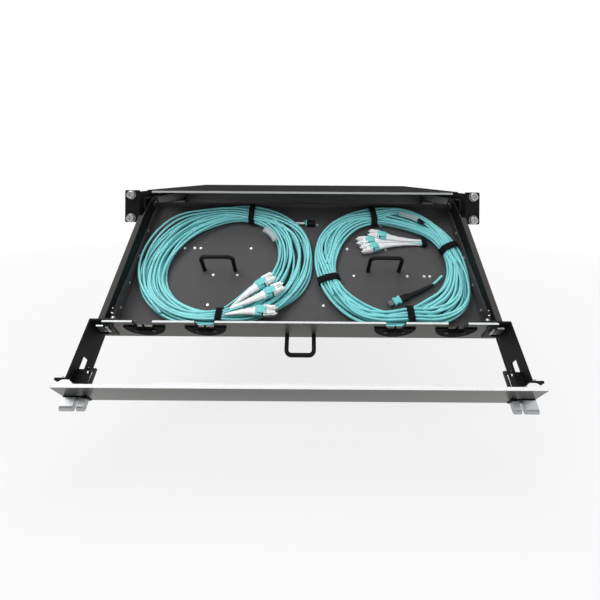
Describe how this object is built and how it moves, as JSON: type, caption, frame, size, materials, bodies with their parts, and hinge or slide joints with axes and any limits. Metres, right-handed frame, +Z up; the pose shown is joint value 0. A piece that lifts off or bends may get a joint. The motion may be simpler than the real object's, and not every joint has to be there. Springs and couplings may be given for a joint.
{
  "type": "fibre optic patch panel",
  "caption": "One unit rack panel whose tray slides out, tilts down and carries two coils of aqua fibre cable behind a slotted inner panel and a latched bezel.",
  "frame": {"origin": "centre of the rack unit, in the plane of the rack's front face against which the ears are screwed", "axes": "+X to the right seen from the front, +Y into the rack, +Z up; the tray is stored slid out and tilted down, as pictured"},
  "size_m": [0.4826, 0.504, 0.219],
  "materials": {
    "aqua_cable": "smooth jacket",
    "bezel_grey": "brushed, semi gloss anodised",
    "black_plastic": "moulded",
    "black_sheet": "fine satin powder coat",
    "bright_steel": "polished",
    "connector_white": "moulded",
    "guide_plastic": "smooth moulded",
    "label_white": "plain film",
    "latch_silver": "bright satin",
    "panel_silver": "brushed, anodised",
    "spring_steel": "drawn wire",
    "strap_fabric": "hook and loop weave",
    "tray_grey": "fine textured powder coat",
    "zinc_sheet": "satin"
  },
  "bodies": {
    "chassis": {"chassis_side_left": "zinc_sheet", "chassis_side_right": "zinc_sheet", "top_cover": "zinc_sheet", "chassis_screws": "bright_steel", "rear_crossbar": "zinc_sheet", "fixed_rail_left": "zinc_sheet", "fixed_rail_right": "zinc_sheet", "rail_rivets": "bright_steel", "slide_stop_studs": "bright_steel", "rack_screws": "bright_steel", "rack_washers": "bright_steel"},
    "carriage": {"carriage_rail_left": "zinc_sheet", "carriage_rail_right": "zinc_sheet", "carriage_crossbar": "zinc_sheet", "carriage_screws": "bright_steel", "pivot_pins": "bright_steel", "tilt_stop_pins": "bright_steel"},
    "tray": {"arm_left": "black_sheet", "arm_right": "black_sheet", "bend_guide_inner_left": "guide_plastic", "bend_guide_inner_right": "guide_plastic", "bend_guide_outer_left": "guide_plastic", "bend_guide_outer_right": "guide_plastic", "bezel": "bezel_grey", "bezel_back_strip": "bezel_grey", "bezel_latch_blocks": "latch_silver", "bezel_latch_bodies": "black_plastic", "bezel_screws": "bright_steel", "bezel_spacers": "panel_silver", "cable_coil_left": "aqua_cable", "cable_coil_right": "aqua_cable", "fanout_legs": "aqua_cable", "floor_bail_left": "bright_steel", "floor_bail_right": "bright_steel", "floor_rivets": "bright_steel", "guide_screws": "bright_steel", "inner_panel": "panel_silver", "label_plates": "label_white", "latch_pins": "bright_steel", "latch_springs": "spring_steel", "lc_connectors": "connector_white", "leg_tie": "strap_fabric", "mpo_connectors": "black_plastic", "mpo_tails": "aqua_cable", "panel_latch_blocks": "latch_silver", "panel_latch_bodies": "black_plastic", "panel_screws": "bright_steel", "pull_handle": "bright_steel", "rod_screws": "bright_steel", "side_rivets": "bright_steel", "straps_left": "strap_fabric", "straps_right": "strap_fabric", "tray_pan": "tray_grey", "tray_side_left": "tray_grey", "tray_side_right": "tray_grey"},
    "bezel_latch_left_release": {"bezel_latch_lever_left": "latch_silver"},
    "bezel_latch_right_release": {"bezel_latch_lever_right": "latch_silver"},
    "panel_latch_left_release": {"panel_latch_lever_left": "latch_silver"},
    "panel_latch_right_release": {"panel_latch_lever_right": "latch_silver"}
  },
  "joints": [
    {"name": "carriage_slide", "type": "slide", "parent": "chassis", "child": "carriage", "axis": [0, 1, 0], "range_m": [0, 0.135]},
    {"name": "tray_tilt", "type": "hinge", "parent": "carriage", "child": "tray", "pos_m": [0, 0.0344, 0], "axis": [-1, 0, 0], "range_deg": [0, 45.84]},
    {"name": "bezel_latch_left_squeeze", "type": "hinge", "parent": "tray", "child": "bezel_latch_left_release", "pos_m": [-0.2225, -0.12421, -0.18414], "axis": [0, 0.7174, -0.6967], "range_deg": [0, 10], "stiffness_Nm_per_rad": 0.03},
    {"name": "bezel_latch_right_squeeze", "type": "hinge", "parent": "tray", "child": "bezel_latch_right_release", "pos_m": [0.2225, -0.12421, -0.18414], "axis": [0, -0.7174, 0.6967], "range_deg": [0, 10], "stiffness_Nm_per_rad": 0.03},
    {"name": "panel_latch_left_squeeze", "type": "hinge", "parent": "tray", "child": "panel_latch_left_release", "pos_m": [-0.2105, -0.09428, -0.12232], "axis": [0, 0.7174, -0.6967], "range_deg": [0, 7], "stiffness_Nm_per_rad": 0.03},
    {"name": "panel_latch_right_squeeze", "type": "hinge", "parent": "tray", "child": "panel_latch_right_release", "pos_m": [0.2105, -0.09428, -0.12232], "axis": [0, -0.7174, 0.6967], "range_deg": [0, 7], "stiffness_Nm_per_rad": 0.03}
  ]
}
